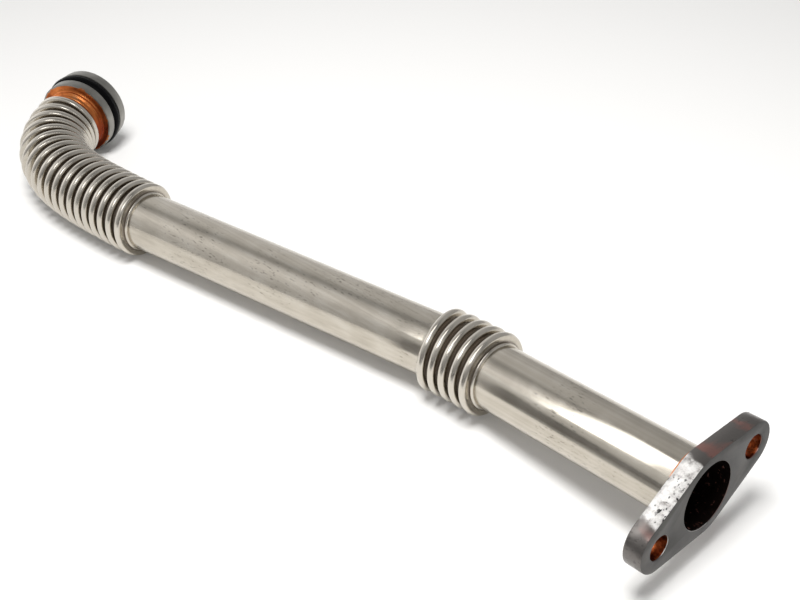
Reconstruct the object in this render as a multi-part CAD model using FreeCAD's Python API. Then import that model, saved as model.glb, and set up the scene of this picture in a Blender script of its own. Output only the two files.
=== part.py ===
import FreeCAD, Part
import math
import os

# Tube: one thin stainless tube, both bellows are formed in it
tube_od = 25.4
tube_wall = 0.5

# Convolutions, alike in both bellows: how far they stand above the tube and sink below it
crest_height = 3.95
crest_width = 2.5
root_depth = 0.3

# Straight runs stop this far from where each bellows begins and ends
run_to_bellows = 1.5

# Rolled bead on the flange side of each bellows
bead_height = 0.7
bead_width = 1.2
bead_to_crest = 2.1

# Short bellows, with the kink spread over its convolutions
flange_run = 90.9
short_count = 5
short_pitch = 5.7
kink_plan_deg = [1.3, 3.9]
kink_side_deg = 157.1

# Straight run between the bellows, then the long bellows bent into an elbow
straight_run = 152.6
long_count = 19
long_pitch = 5.06
stretch_per_deg = 0.148
bend_plan_deg = [1.8, 0.1, 2.7, 8.0, 9.1]

# Two-bolt flange: rims round the tube and the bolt holes, and the step that stops the tube
bolt_spacing = 50.0
bolt_hole_d = 9.0
bolt_rim = 4.8
tube_rim = 3.0
flange_thickness = 7.0
flange_socket_depth = 5.0
flange_step = 0.3
flange_roll_deg = 10.8

# Turned end collar with a groove for the seal and a tapered lip
collar_heading_deg = 73.2
collar_height = 5.85
collar_width = 4.8
seal_groove_width = 5.2
seal_groove_depth = 4.25
lip_rise = 0.5
lip_width = 5.9
tip_drop = 0.5
collar_socket_depth = 7.0

# Moulded seal ring with a domed crown that stands above the collar
seal_stand = 0.825
seal_crown_width = 1.8
seal_crown_height = 1.2

# Copper braze at both ends, the neck at the collar with its bead and its lap
flange_fillet = 1.6
neck_start = 0.3
neck_length = 4.9
neck_height = 1.5
neck_bead_height = 2.8
neck_bead_width = 0.9
neck_bead_to_collar = 1.8
neck_lap_to_edge = 0.55

# Turn of the whole part on the floor, which sets its X axis along the way through both straight runs
lie_turn_deg = 6.0

# Clearances of the tube in its sockets and from the flange's step, and of the seal over and beside its groove
socket_clearance = 0.05
step_clearance = 0.1
seal_floor_clearance = 0.1
seal_side_clearance = 0.15

ORIGIN = FreeCAD.Vector(0, 0, 0)
UP = FreeCAD.Vector(0, 0, 1)
TOWARDS_FLANGE = FreeCAD.Vector(1, 0, 0)

tube_r = tube_od / 2
bore_r = tube_r - tube_wall
crest_r = tube_r + crest_height
root_r = tube_r - root_depth
socket_r = tube_r + socket_clearance
collar_r = tube_r + collar_height
groove_r = collar_r - seal_groove_depth
lip_r = collar_r + lip_rise
seal_r = collar_r + seal_stand


class Station:
    """A place on the centreline: its point, its heading, and the hinge its bend turns about."""

    def __init__(self, point, heading, hinge):
        self.point = point
        self.heading = heading
        self.hinge = hinge

    def ahead(self, length):
        return Station(self.point + self.heading * length, self.heading, self.hinge)

    def turned(self, degrees):
        turn = FreeCAD.Rotation(self.hinge, degrees)
        return Station(self.point, turn.multVec(self.heading), self.hinge)

    def facing_back(self):
        return Station(self.point, self.heading * -1, self.hinge)

    def frame(self, sideways=UP):
        """Placement whose Z is the heading and whose X is as near to sideways as can be."""
        turn = FreeCAD.Rotation(sideways, ORIGIN, self.heading, "ZXY")
        return FreeCAD.Placement(self.point, turn)


def bend_start(point, heading, side):
    """Station from which a bend turns the heading towards the side direction."""
    return Station(point, heading, heading.cross(side))


def walk(start, pitches, turns):
    """The crest stations of a bellows that begins at start, and the station where it ends."""
    crests = []
    here = start
    for pitch, turn in zip(pitches, turns):
        here = here.ahead(pitch / 4).turned(turn / 2).ahead(pitch / 4)
        crests.append(here)
        here = here.ahead(pitch / 4).turned(turn / 2).ahead(pitch / 4)
    return crests, here


def read_plan(plan, count):
    """The turn of each convolution, read between the plan's evenly spaced values."""
    turns = []
    for number in range(count):
        place = (number + 0.5) / count * (len(plan) - 1)
        before = int(place)
        share = place - before
        turns.append(plan[before] * (1 - share) + plan[before + 1] * share)
    return turns


def direction(degrees):
    """Level direction at an angle from the way down the straight run, away from the flange."""
    angle = math.radians(degrees)
    return FreeCAD.Vector(-math.cos(angle), math.sin(angle), 0)


def ring(station, along, radius):
    """A circle square to the centreline, with its seam at the top."""
    edge = Part.makeCircle(radius)
    edge.Placement = station.ahead(along).frame()
    return Part.Wire([edge])


def crest_disc(crest, inset):
    """Solid of one convolution, where inset is 0 outside and the wall inside."""
    half = crest_width / 2 - inset
    disc = Part.makeCylinder(crest_r - inset, 2 * half)
    disc.Placement = crest.ahead(-half).frame()
    return disc


def root_rings(start, crests, end, inset):
    """Rings from the straight run before a bellows, along its roots, to the run after it."""
    half = crest_width / 2 - inset
    rings = [ring(start, 0, tube_r - inset)]
    rings += [ring(crests[0], -half - root_depth, tube_r - inset)] if inset else bead_rings(crests[0])
    for crest in crests:
        rings.append(ring(crest, -half, root_r - inset))
        rings.append(ring(crest, half, root_r - inset))
    rings.append(ring(crests[-1], half + root_depth, tube_r - inset))
    rings.append(ring(end, 0, tube_r - inset))
    return rings


def bead_rings(crest):
    """Rings of the bead rolled into the tube beside the first convolution."""
    half = bead_width / 2
    return [
        ring(crest, -bead_to_crest - half, tube_r),
        ring(crest, -bead_to_crest, tube_r + bead_height),
        ring(crest, -bead_to_crest + half, root_r),
    ]


def rest_rise(pitches, turns):
    """Rise of the elbow's plane at which the seal touches the floor under the crests."""
    flat = bend_start(ORIGIN, TOWARDS_FLANGE * -1, FreeCAD.Vector(0, 1, 0))
    reach = walk(flat, pitches, turns)[1].point.y
    return math.asin((seal_r - crest_r) / reach)


# Centreline, from the short bellows' far end to the flange and to the collar
kink_side = FreeCAD.Rotation(TOWARDS_FLANGE, kink_side_deg).multVec(FreeCAD.Vector(0, 1, 0))
kink_turns = read_plan(kink_plan_deg[::-1], short_count)
bent_run_start = bend_start(ORIGIN, TOWARDS_FLANGE, kink_side)
short_crests, short_end = walk(bent_run_start, [short_pitch] * short_count, kink_turns)
short_crests = [crest.facing_back() for crest in reversed(short_crests)]
flange_run_end = short_end.ahead(run_to_bellows).facing_back()
middle_run_start = bent_run_start.ahead(-run_to_bellows).facing_back()

long_turns = read_plan(bend_plan_deg, long_count)
long_pitches = [long_pitch + stretch_per_deg * turn for turn in long_turns]
rise = rest_rise(long_pitches, long_turns)
elbow_side = FreeCAD.Vector(0, math.cos(rise), math.sin(rise))
long_start = bend_start(FreeCAD.Vector(-straight_run, 0, 0), TOWARDS_FLANGE * -1, elbow_side)
middle_run_end = long_start.ahead(-run_to_bellows)
long_crests, long_end = walk(long_start, long_pitches, long_turns)

# Flange: mating face heading out of the part, line of the bolts, and the tube's end in its socket
flange_face = short_end.ahead(flange_run)
level = UP.cross(flange_face.heading).normalize()
bolt_line = FreeCAD.Rotation(flange_face.heading, flange_roll_deg).multVec(level)
tube_start = flange_face.facing_back().ahead(flange_thickness - flange_socket_depth + step_clearance)

# Collar: where the last root ends and the tube heads level with the floor into its braze neck
collar_start = Station(long_end.point, direction(collar_heading_deg), UP)
tube_end = collar_start.ahead(neck_length + collar_socket_depth)


def rod(start, end, radius):
    """Solid cylinder from one station to another straight ahead of it."""
    length = start.point.distanceToPoint(end.point)
    solid = Part.makeCylinder(radius, length)
    solid.Placement = start.frame()
    return solid


def tube_skin(inset, overrun):
    """Solid inside one skin of the whole tube, from the flange's socket to the collar's."""
    radius = tube_r - inset
    solids = [
        Part.makeLoft(root_rings(flange_run_end, short_crests, middle_run_start, inset), True, True),
        Part.makeLoft(root_rings(middle_run_end, long_crests, collar_start, inset), True, True),
        rod(tube_start.ahead(-overrun), flange_run_end, radius),
        rod(middle_run_start, middle_run_end, radius),
        rod(collar_start, tube_end.ahead(overrun), radius),
    ]
    solids += [crest_disc(crest, inset) for crest in short_crests + long_crests]
    return solids[0].fuse(solids[1:])


def make_pipe():
    """The tube's outside less its inside, which runs on past both ends."""
    return tube_skin(0, 0).cut(tube_skin(tube_wall, 1.0))


def diamond(spacing, end_r, middle_r):
    """Outline of a two-bolt flange: end and middle arcs joined by tangent lines."""
    tangent = math.acos((middle_r - end_r) / (spacing / 2))

    def on_arc(centre, radius, angle):
        return FreeCAD.Vector(centre + radius * math.cos(angle), radius * math.sin(angle), 0)

    edges = []
    last = None
    for centre, radius, first, final in (
        (spacing / 2, end_r, -tangent, tangent),
        (0, middle_r, tangent, math.pi - tangent),
        (-spacing / 2, end_r, math.pi - tangent, math.pi + tangent),
        (0, middle_r, math.pi + tangent, 2 * math.pi - tangent),
    ):
        points = [on_arc(centre, radius, angle) for angle in (first, (first + final) / 2, final)]
        if last is not None:
            edges.append(Part.LineSegment(last, points[0]).toShape())
        edges.append(Part.Arc(*points).toShape())
        last = points[-1]
    start = edges[0].valueAt(edges[0].FirstParameter)
    edges.append(Part.LineSegment(last, start).toShape())
    return Part.Wire(edges)


def cylinder(radius, bottom, top, centre=0):
    return Part.makeCylinder(radius, top - bottom, FreeCAD.Vector(centre, 0, bottom))


def turned(profile, station):
    """Solid of revolution about a station's heading, from a profile of radius and distance along."""
    points = [FreeCAD.Vector(radius, 0, along) for radius, along in profile]
    face = Part.Face(Part.makePolygon(points + points[:1]))
    solid = face.revolve(ORIGIN, UP, 360)
    solid.Placement = station.frame()
    return solid


def make_flange():
    """Plate with its mating face at zero and its back at minus its thickness."""
    outline = Part.Face(diamond(bolt_spacing, bolt_hole_d / 2 + bolt_rim, tube_r + tube_rim))
    plate = outline.extrude(FreeCAD.Vector(0, 0, -flange_thickness))
    plate = plate.cut(cylinder(tube_r - flange_step, -flange_thickness, 0))
    plate = plate.cut(cylinder(socket_r, -flange_thickness, flange_socket_depth - flange_thickness))
    for side in (-1, 1):
        plate = plate.cut(cylinder(bolt_hole_d / 2, -flange_thickness, 0, side * bolt_spacing / 2))
    plate.Placement = flange_face.frame(bolt_line)
    return plate


def make_flange_braze():
    """Fillet of braze between the flange's back and the tube."""
    profile = [
        (tube_r, 0),
        (tube_r + flange_fillet, 0),
        (tube_r, flange_fillet),
    ]
    return turned(profile, flange_face.facing_back().ahead(flange_thickness))


def make_end_collar():
    """Socket for the tube, seal groove, and lip that tapers to the open end."""
    near = neck_length
    groove = near + collar_width
    lip = groove + seal_groove_width
    tip = lip + lip_width
    socket = near + collar_socket_depth
    profile = [
        (socket_r, near),
        (collar_r, near),
        (collar_r, groove),
        (groove_r, groove),
        (groove_r, lip),
        (lip_r, lip),
        (lip_r - tip_drop, tip),
        (bore_r, tip),
        (bore_r, socket),
        (socket_r, socket),
    ]
    return turned(profile, collar_start)


def make_collar_braze():
    """Neck of braze that swells to a bead, then laps onto the collar's face."""
    bead_r = tube_r + neck_bead_height
    bead_end = neck_length - neck_bead_to_collar + neck_bead_width / 2
    profile = [
        (tube_r, neck_start),
        (tube_r + neck_height, neck_start),
        (bead_r, bead_end - neck_bead_width),
        (bead_r, bead_end),
        (collar_r - neck_lap_to_edge, neck_length),
        (tube_r, neck_length),
    ]
    return turned(profile, collar_start)


def make_seal_ring():
    """Rubber ring that stands out of its groove, with a bevel on both sides of its crown."""
    side = seal_groove_width / 2 - seal_side_clearance
    crown = seal_crown_width / 2
    inner = groove_r + seal_floor_clearance
    profile = [
        (inner, -side),
        (seal_r - seal_crown_height, -side),
        (seal_r, -crown),
        (seal_r, crown),
        (seal_r - seal_crown_height, side),
        (inner, side),
    ]
    return turned(profile, collar_start.ahead(neck_length + collar_width + seal_groove_width / 2))


# The part's origin is the centre of the flange's mating face
os.makedirs("parts", exist_ok=True)
pieces = {
    "pipe": make_pipe(),
    "flange": make_flange(),
    "flange_braze": make_flange_braze(),
    "end_collar": make_end_collar(),
    "collar_braze": make_collar_braze(),
    "seal_ring": make_seal_ring(),
}
for name, piece in pieces.items():
    piece.translate(flange_face.point * -1)
    piece.rotate(ORIGIN, UP, lie_turn_deg)
    piece.exportStep("parts/" + name + ".step")
    print(name, "solids", len(piece.Solids), "valid", piece.isValid(), "volume", round(piece.Volume, 1))
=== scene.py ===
# %% [markdown]
# # A bellows pipe, dressed for the camera
#
# The part is a thin stainless pipe with two flexible bellows, a flat two-bolt flange brazed on
# at one end, and a turned steel collar with a rubber seal on the other. The solids come from the
# CAD model and give every place and size. This lesson gives each of them its real surface.

# %% Load the frame
import bpy
import bmesh
from math import asin, cos, pi, radians, sin
from mathutils import Matrix, Vector


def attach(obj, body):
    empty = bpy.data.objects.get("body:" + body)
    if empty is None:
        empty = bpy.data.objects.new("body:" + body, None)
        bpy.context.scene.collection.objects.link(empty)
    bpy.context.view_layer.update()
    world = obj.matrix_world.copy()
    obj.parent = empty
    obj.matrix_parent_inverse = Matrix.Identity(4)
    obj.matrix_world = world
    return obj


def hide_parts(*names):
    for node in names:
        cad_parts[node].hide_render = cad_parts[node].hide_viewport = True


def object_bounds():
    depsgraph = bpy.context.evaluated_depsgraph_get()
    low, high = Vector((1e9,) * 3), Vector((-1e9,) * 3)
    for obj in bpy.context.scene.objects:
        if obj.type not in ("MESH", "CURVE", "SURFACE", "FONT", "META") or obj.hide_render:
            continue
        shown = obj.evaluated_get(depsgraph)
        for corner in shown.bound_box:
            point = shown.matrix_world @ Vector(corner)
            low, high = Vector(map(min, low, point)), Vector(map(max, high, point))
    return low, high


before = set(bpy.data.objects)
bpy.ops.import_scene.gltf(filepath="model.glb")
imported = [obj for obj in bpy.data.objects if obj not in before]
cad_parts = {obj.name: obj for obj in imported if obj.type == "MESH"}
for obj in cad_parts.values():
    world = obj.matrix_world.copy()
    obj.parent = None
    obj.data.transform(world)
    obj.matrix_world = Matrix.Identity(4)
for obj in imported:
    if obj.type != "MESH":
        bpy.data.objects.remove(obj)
cad_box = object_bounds()
print("CAD box in mm:", [[round(value * 1000, 2) for value in corner] for corner in cad_box])

# %% [markdown]
# ## The sizes
#
# The sizes repeat the ones the solids were made with, in metres. Radii are measured from the
# middle of the tube. `MM` turns a drawing's millimetres into Blender's metres.

# %% Sizes of the tube and both bellows
MM = 0.001
TUBE_R = 12.7 * MM
WALL = 0.5 * MM
CREST_R = TUBE_R + 3.95 * MM
CREST_HALF = 1.6 * MM
ROOT_R = TUBE_R - 0.3 * MM
BEAD_R = TUBE_R + 0.7 * MM
BEAD_HALF = 0.6 * MM
BEAD_TO_CREST = 2.25 * MM
RUN_TO_BELLOWS = 1.5 * MM

FLANGE_RUN = 90.9 * MM
SHORT_COUNT = 5
SHORT_PITCH = 5.7 * MM
KINK_PLAN = [3.9, 1.3]
KINK_SIDE = 157.1

MIDDLE_RUN = 152.6 * MM
LONG_COUNT = 19
LONG_PITCH = 5.06 * MM
STRETCH_PER_DEGREE = 0.148 * MM
BEND_PLAN = [1.8, 0.1, 2.7, 8.0, 9.1]

# %% Sizes of the flange and the collar
FLANGE_THICKNESS = 7.0 * MM
FLANGE_SOCKET = 5.0 * MM
BOLT_SPACING = 50.0 * MM
BOLT_HOLE_R = 4.5 * MM
BOLT_RIM = 4.8 * MM
TUBE_RIM = 3.0 * MM
FLANGE_STEP = 0.3 * MM
FLANGE_FILLET = 1.6 * MM
FLANGE_ROLL = 10.8

COLLAR_HEADING = 73.2
NECK = 4.9 * MM
COLLAR_R = TUBE_R + 5.85 * MM
COLLAR_WIDTH = 4.8 * MM
GROOVE_WIDTH = 5.2 * MM
GROOVE_R = COLLAR_R - 4.25 * MM
LIP_R = COLLAR_R + 0.5 * MM
LIP_WIDTH = 5.9 * MM
TIP_DROP = 0.5 * MM
COLLAR_SOCKET = 7.0 * MM
SEAL_R = COLLAR_R + 0.825 * MM
SOCKET_R = TUBE_R + 0.05 * MM

LIE_TURN = 6.0
ROUND = 72
print("tube and collar across in mm:", round(2 * TUBE_R / MM, 1), round(2 * COLLAR_R / MM, 1))

# %% [markdown]
# ## The centreline
#
# A bellows bends a little at every root, so its centreline is a chain: half the turn of a
# convolution is taken a quarter of its pitch before the crest, the other half a quarter after.
# Each place on the chain is a matrix whose Z runs along the tube and whose X is the hinge.
# A chain of matrices is used because the same matrices later carry the copied convolutions.

# %% Walk along the bellows
def read_plan(plan, count):
    """Turn of each convolution in degrees, read between the plan's even steps."""
    turns = []
    for number in range(count):
        place = (number + 0.5) / count * (len(plan) - 1)
        before = int(place)
        share = place - before
        turns.append(plan[before] * (1 - share) + plan[before + 1] * share)
    return turns


def place_on(point, heading, hinge):
    """Matrix at a point, with Z along the heading and X along the hinge."""
    along = Vector(heading).normalized()
    across = Vector(hinge)
    across = (across - along * across.dot(along)).normalized()
    side = along.cross(across)
    turn = Matrix((across, side, along)).transposed().to_4x4()
    return Matrix.Translation(Vector(point)) @ turn


def ahead(place, length):
    """The place moved along its own heading."""
    return place @ Matrix.Translation((0, 0, length))


def walk(place, pitches, turns, way=1):
    """Places of the crests, and the place after the last; way is -1 against the heading."""
    crests = []
    for pitch, turn in zip(pitches, turns):
        hinge = Matrix.Rotation(radians(turn / 2) * way, 4, "X")
        place = ahead(ahead(place, way * pitch / 4) @ hinge, way * pitch / 4)
        crests.append(place)
        place = ahead(ahead(place, way * pitch / 4) @ hinge, way * pitch / 4)
    return crests, place


def direction(degrees):
    """Level direction at an angle from the way down the middle run."""
    return Vector((-cos(radians(degrees)), sin(radians(degrees)), 0))


# %% Places of both bellows, the flange and the collar
UP = Vector((0, 0, 1))
DOWN_THE_PIPE = Vector((-1, 0, 0))
kink_side = Vector((0, cos(radians(KINK_SIDE)), sin(radians(KINK_SIDE))))
kink_hinge = kink_side.cross(-DOWN_THE_PIPE) * -1
kink_turns = read_plan(KINK_PLAN, SHORT_COUNT)
middle_start = place_on((0, 0, 0), DOWN_THE_PIPE, kink_hinge * -1)
short_crests, flange_run_end = walk(middle_start, [SHORT_PITCH] * SHORT_COUNT, kink_turns, -1)

long_turns = read_plan(BEND_PLAN, LONG_COUNT)
long_pitches = [LONG_PITCH + STRETCH_PER_DEGREE * turn for turn in long_turns]
flat_start = place_on((0, 0, 0), DOWN_THE_PIPE, DOWN_THE_PIPE.cross(Vector((0, 1, 0))))
flat_reach = walk(flat_start, long_pitches, long_turns)[1].translation.y
rise = asin((SEAL_R - CREST_R) / flat_reach)
elbow_side = Vector((0, cos(rise), sin(rise)))
middle_end = place_on((-MIDDLE_RUN, 0, 0), DOWN_THE_PIPE, DOWN_THE_PIPE.cross(elbow_side))
long_crests, long_end = walk(middle_end, long_pitches, long_turns)

flange_heading = -flange_run_end.to_3x3().col[2]
flange_point = flange_run_end.translation + flange_heading * FLANGE_RUN
level = UP.cross(flange_heading).normalized()
bolt_line = Matrix.Rotation(radians(FLANGE_ROLL), 3, flange_heading) @ level
lie = Matrix.Rotation(radians(LIE_TURN), 4, "Z") @ Matrix.Translation(-flange_point)
flange_place = lie @ place_on(flange_point, flange_heading, bolt_line)
collar_place = lie @ place_on(long_end.translation, direction(COLLAR_HEADING), UP)
print("flange heading:", [round(value, 5) for value in flange_place.col[2][:3]])
print("collar start in mm:", [round(value / MM, 3) for value in collar_place.translation])

# %% [markdown]
# ## The camera
#
# The picture was taken from above and beside the flange. The camera's place and turn were
# solved from the ellipses of the flange, the straight runs and the seal, so it is set by numbers.

# %% Camera
CAMERA_PLACE = Vector((94.85, -252.48, 272.98)) * MM
CAMERA_TURN = (52.4644, 0.5678, 41.0577)
CAMERA_LENS = 52.3
camera_data = bpy.data.cameras.new("camera")
camera_data.lens = CAMERA_LENS
camera_data.clip_start = 0.01
camera = bpy.data.objects.new("camera", camera_data)
camera.location = CAMERA_PLACE
camera.rotation_euler = [radians(angle) for angle in CAMERA_TURN]
bpy.context.scene.collection.objects.link(camera)
bpy.context.scene.camera = camera
bpy.context.scene.view_settings.view_transform = "Standard"
print("camera height in mm:", round(camera.location.z / MM, 1))

# %% [markdown]
# ## Tools of this lesson
#
# Every round piece starts as a circle that is extruded ring by ring, the way a spinner works
# down a tube. Faces and points are picked by their place. Transforms are given their centre,
# because without a window they would not find it, and there `transform.rotate` also turns the
# other way, so its angle is given with the sign changed.

# %% Pick pieces and points
def deselect_all():
    """Nothing is selected, so the next operator touches only what it makes."""
    if bpy.context.mode != "OBJECT":
        bpy.ops.object.mode_set(mode="OBJECT")
    bpy.ops.object.select_all(action="DESELECT")


def make_active(piece):
    """The piece alone is selected and active."""
    deselect_all()
    piece.select_set(True)
    bpy.context.view_layer.objects.active = piece


def select_points(piece, wanted):
    """Selects the piece's points whose place passes the test; call it in edit mode."""
    bpy.ops.mesh.select_mode(type="VERT")
    bpy.ops.mesh.select_all(action="DESELECT")
    points = bmesh.from_edit_mesh(piece.data)
    for point in points.verts:
        point.select = wanted(point.co)
    points.select_flush(True)
    bmesh.update_edit_mesh(piece.data)


# %% Extrude a circle ring by ring
def extrude_rings(name, rings, closed=False):
    """A circle extruded through rings of (along, radius) on Z; closed joins last to first."""
    deselect_all()
    first_along, first_radius = rings[0]
    bpy.ops.mesh.primitive_circle_add(
        vertices=ROUND, radius=first_radius, location=(0, 0, first_along))
    piece = bpy.context.object
    piece.name = piece.data.name = name
    bpy.ops.object.transform_apply()
    bpy.ops.object.mode_set(mode="EDIT")
    bpy.ops.mesh.select_mode(type="VERT")
    bpy.ops.mesh.select_all(action="SELECT")
    around = rings[1:] + rings[:1] if closed else rings[1:]
    for along, radius in around:
        step = (0, 0, along - first_along)
        bpy.ops.mesh.extrude_region_move(TRANSFORM_OT_translate={"value": step})
        grow = radius / first_radius
        bpy.ops.transform.resize(value=(grow, grow, 1), center_override=(0, 0, along))
        first_along, first_radius = along, radius
    if closed:
        bpy.ops.mesh.select_all(action="SELECT")
        bpy.ops.mesh.remove_doubles(threshold=0.001 * MM)
        bpy.ops.mesh.normals_make_consistent(inside=False)
    bpy.ops.object.mode_set(mode="OBJECT")
    return piece


# %% Arcs, places and smooth shading
def arc(along, radius, size, start, stop, steps):
    """Points of an arc in a profile; angles in degrees, 0 along the tube and 90 outward."""
    angles = [radians(start + (stop - start) * step / steps) for step in range(steps + 1)]
    return [(along + size * cos(angle), radius + size * sin(angle)) for angle in angles]


def put_in_place(piece, place):
    """Bakes a place into the piece's mesh, so its object stays at the origin."""
    make_active(piece)
    piece.matrix_world = place
    bpy.ops.object.transform_apply(location=True, rotation=True, scale=True)


def smooth(piece, degrees=35):
    """Smooth shading that keeps edges sharper than the angle."""
    make_active(piece)
    bpy.ops.object.shade_smooth_by_angle(angle=radians(degrees))


print("points of a quarter arc in six steps:", len(arc(0, 0, MM, 0, 90, 6)))


# %% [markdown]
# ## One convolution
#
# A convolution is a wall of thin sheet pushed out by pressure: a rounded crest, two flanks and
# a hollow root on each side. All of them are alike, so the shape is modelled once and copied.
# The first one beside the flange has a rolled bead instead of its root, and the last one runs
# straight into the tube.

# %% Profiles of a convolution, from its crest outward
CREST_ROUND = 1.45 * MM
ROOT_ROUND = 0.55 * MM
crest_top = arc(CREST_HALF - CREST_ROUND, CREST_R - CREST_ROUND, CREST_ROUND, 90, 0, 6)
crest_half = crest_top + [(CREST_HALF - 0.06 * MM, (CREST_R + ROOT_R) / 2 - 0.5 * MM)]


def foot(radius):
    """Lower flank and the hollow round that ends on a cylinder of this radius."""
    return arc(CREST_HALF + ROOT_ROUND, radius + ROOT_ROUND, ROOT_ROUND, 180, 270, 4)


plain_end = crest_half + foot(ROOT_R) + [(LONG_PITCH / 2, ROOT_R)]
tube_end = crest_half + foot(TUBE_R) + [(LONG_PITCH / 2, TUBE_R)]
bead_rise = arc(BEAD_TO_CREST, BEAD_R - BEAD_HALF, BEAD_HALF, 150, 25, 6)
bead_end = crest_half + [
    (CREST_HALF - 0.04 * MM, ROOT_R + 0.75 * MM), (CREST_HALF, ROOT_R + 0.4 * MM)]
bead_end += bead_rise + [(BEAD_TO_CREST + BEAD_HALF + 0.1 * MM, TUBE_R), (3.2 * MM, TUBE_R)]


def convolution_rings(before, after):
    """Whole profile from the profile before the crest, mirrored, and the one after it."""
    return [(-along, radius) for along, radius in reversed(before)] + after[1:]


print("points of a plain side:", len(plain_end), "and of the side with the bead:", len(bead_end))


# %% Model the three kinds
def mark_height(piece):
    """Attribute, 0 in the roots and 1 on the crests and the bead, for painted shade and highlight.
    """
    height = piece.data.attributes.new("height", "FLOAT", "POINT")
    for point, value in zip(piece.data.vertices, height.data):
        off_axis = (point.co.x ** 2 + point.co.y ** 2) ** 0.5
        value.value = (off_axis - ROOT_R) / (CREST_R - ROOT_R)
        if piece is first_kind and point.co.z < BEAD_HALF - BEAD_TO_CREST:
            value.value = 1.0


middle_kind = extrude_rings("convolution", convolution_rings(plain_end, plain_end))
first_kind = extrude_rings("convolution_with_bead", convolution_rings(bead_end, plain_end))
last_kind = extrude_rings("convolution_at_tube", convolution_rings(plain_end, tube_end))
for kind in (middle_kind, first_kind, last_kind):
    mark_height(kind)
print("rings of one convolution:", len(convolution_rings(plain_end, plain_end)))

# %% [markdown]
# ## Copy and bend
#
# Each copy gets its own mesh. Its end rings are pulled to the real pitch and turned about the
# hinge, the hollow rounds follow part of the way, and the crest stays stiff, as it does in the
# metal. Bending every copy by hand keeps the crests alike, which a curve modifier would not.

# %% Bend one copy
FLANK_SHARE = 0.2
FOOT_SHARE = 0.45
CREST_FLOOR_R = (CREST_R + ROOT_R) / 2 + 0.01 * MM


def bend_copy(kind, name, place, pitch, turn, reach_before=0.0, reach_after=0.0):
    """Copies a convolution, turns its two sides by half the turn each, and puts it in place."""
    piece = kind.copy()
    piece.data = kind.data.copy()
    piece.name = piece.data.name = name
    bpy.context.scene.collection.objects.link(piece)
    make_active(piece)
    bpy.ops.object.mode_set(mode="EDIT")
    for side, reach in ((-1, reach_before), (1, reach_after)):
        ends = [point.co.z for point in bmesh.from_edit_mesh(piece.data).verts]
        end = max(ends) if side > 0 else min(ends)
        select_points(piece, lambda place_of: abs(place_of.z - end) < 0.01 * MM)
        bpy.ops.transform.translate(value=(0, 0, side * (pitch / 2 + reach) - end))
        edges = (
            (CREST_HALF - 0.08 * MM, FLANK_SHARE),
            (CREST_HALF + 0.01 * MM, FOOT_SHARE),
            (CREST_HALF + 0.6 * ROOT_ROUND, 1 - FLANK_SHARE - FOOT_SHARE),
        )
        for edge, share in edges:
            def beyond(place_of):
                off_axis = (place_of.x ** 2 + place_of.y ** 2) ** 0.5
                return place_of.z * side > edge and off_axis < CREST_FLOOR_R

            select_points(piece, beyond)
            angle = -side * radians(turn / 2) * share
            bpy.ops.transform.rotate(
                value=angle, orient_axis="X", orient_type="GLOBAL",
                center_override=(0, 0, side * pitch / 4),
            )
    bpy.ops.object.mode_set(mode="OBJECT")
    put_in_place(piece, lie @ place)
    return piece


# %% Both bellows
def make_bellows(name, crests, pitches, turns):
    """All convolutions of one bellows, from the flange side to the collar side."""
    made = []
    last = len(crests) - 1
    for number, (place, pitch, turn) in enumerate(zip(crests, pitches, turns)):
        kind = first_kind if number == 0 else last_kind if number == last else middle_kind
        before = RUN_TO_BELLOWS if number == 0 else 0.0
        after = RUN_TO_BELLOWS if number == last and name == "short" else 0.0
        made.append(bend_copy(kind, f"{name}_{number}", place, pitch, turn, before, after))
    return made


short_pitches = [SHORT_PITCH] * SHORT_COUNT
short_parts = make_bellows("short", short_crests[::-1], short_pitches, kink_turns[::-1])
long_parts = make_bellows("long", long_crests, long_pitches, long_turns)
print("convolutions:", len(short_parts), "and", len(long_parts))

# %% [markdown]
# ## The straight runs
#
# The straight runs are the same sheet as the bellows. The copies are joined and their touching
# rings merged, then the open rings are extruded down to the flange and into the collar, and
# bridged in the middle, so one unbroken skin runs the whole way as it does in the real tube.

# %% Join the convolutions into one skin
deselect_all()
for kind in (middle_kind, first_kind, last_kind):
    kind.select_set(True)
bpy.ops.object.delete()
for part in short_parts + long_parts:
    part.select_set(True)
tube = short_parts[0]
bpy.context.view_layer.objects.active = tube
bpy.ops.object.join()
tube.name = tube.data.name = "formed_tube"
bpy.ops.object.mode_set(mode="EDIT")
bpy.ops.mesh.select_all(action="SELECT")
bpy.ops.mesh.remove_doubles(threshold=0.02 * MM)


def open_ring_near(piece, point, reach):
    """Selects the open edges that lie within reach of a point."""
    bpy.ops.mesh.select_mode(type="EDGE")
    bpy.ops.mesh.select_all(action="DESELECT")
    mesh = bmesh.from_edit_mesh(piece.data)
    found = [edge for edge in mesh.edges if edge.is_boundary
             and all((corner.co - point).length < reach for corner in edge.verts)]
    for edge in found:
        edge.select = True
    mesh.select_flush_mode()
    bmesh.update_edit_mesh(piece.data)
    return len(found)


# %% Draw out the run to the flange and the end in the collar
ring_reach = TUBE_R + 1.0 * MM
flange_ring = (lie @ ahead(flange_run_end, -RUN_TO_BELLOWS)).translation
tube_tip = flange_place @ Vector((0, 0, FLANGE_SOCKET - FLANGE_THICKNESS))
print("open edges at the flange run:", open_ring_near(tube, flange_ring, ring_reach))
bpy.ops.mesh.extrude_region_move(TRANSFORM_OT_translate={"value": tube_tip - flange_ring})

collar_ring = (lie @ long_end).translation
print("open edges at the collar:", open_ring_near(tube, collar_ring, ring_reach))
collar_end = collar_place @ Vector((0, 0, NECK + COLLAR_SOCKET))
bpy.ops.mesh.extrude_region_move(TRANSFORM_OT_translate={"value": collar_end - collar_ring})

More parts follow.
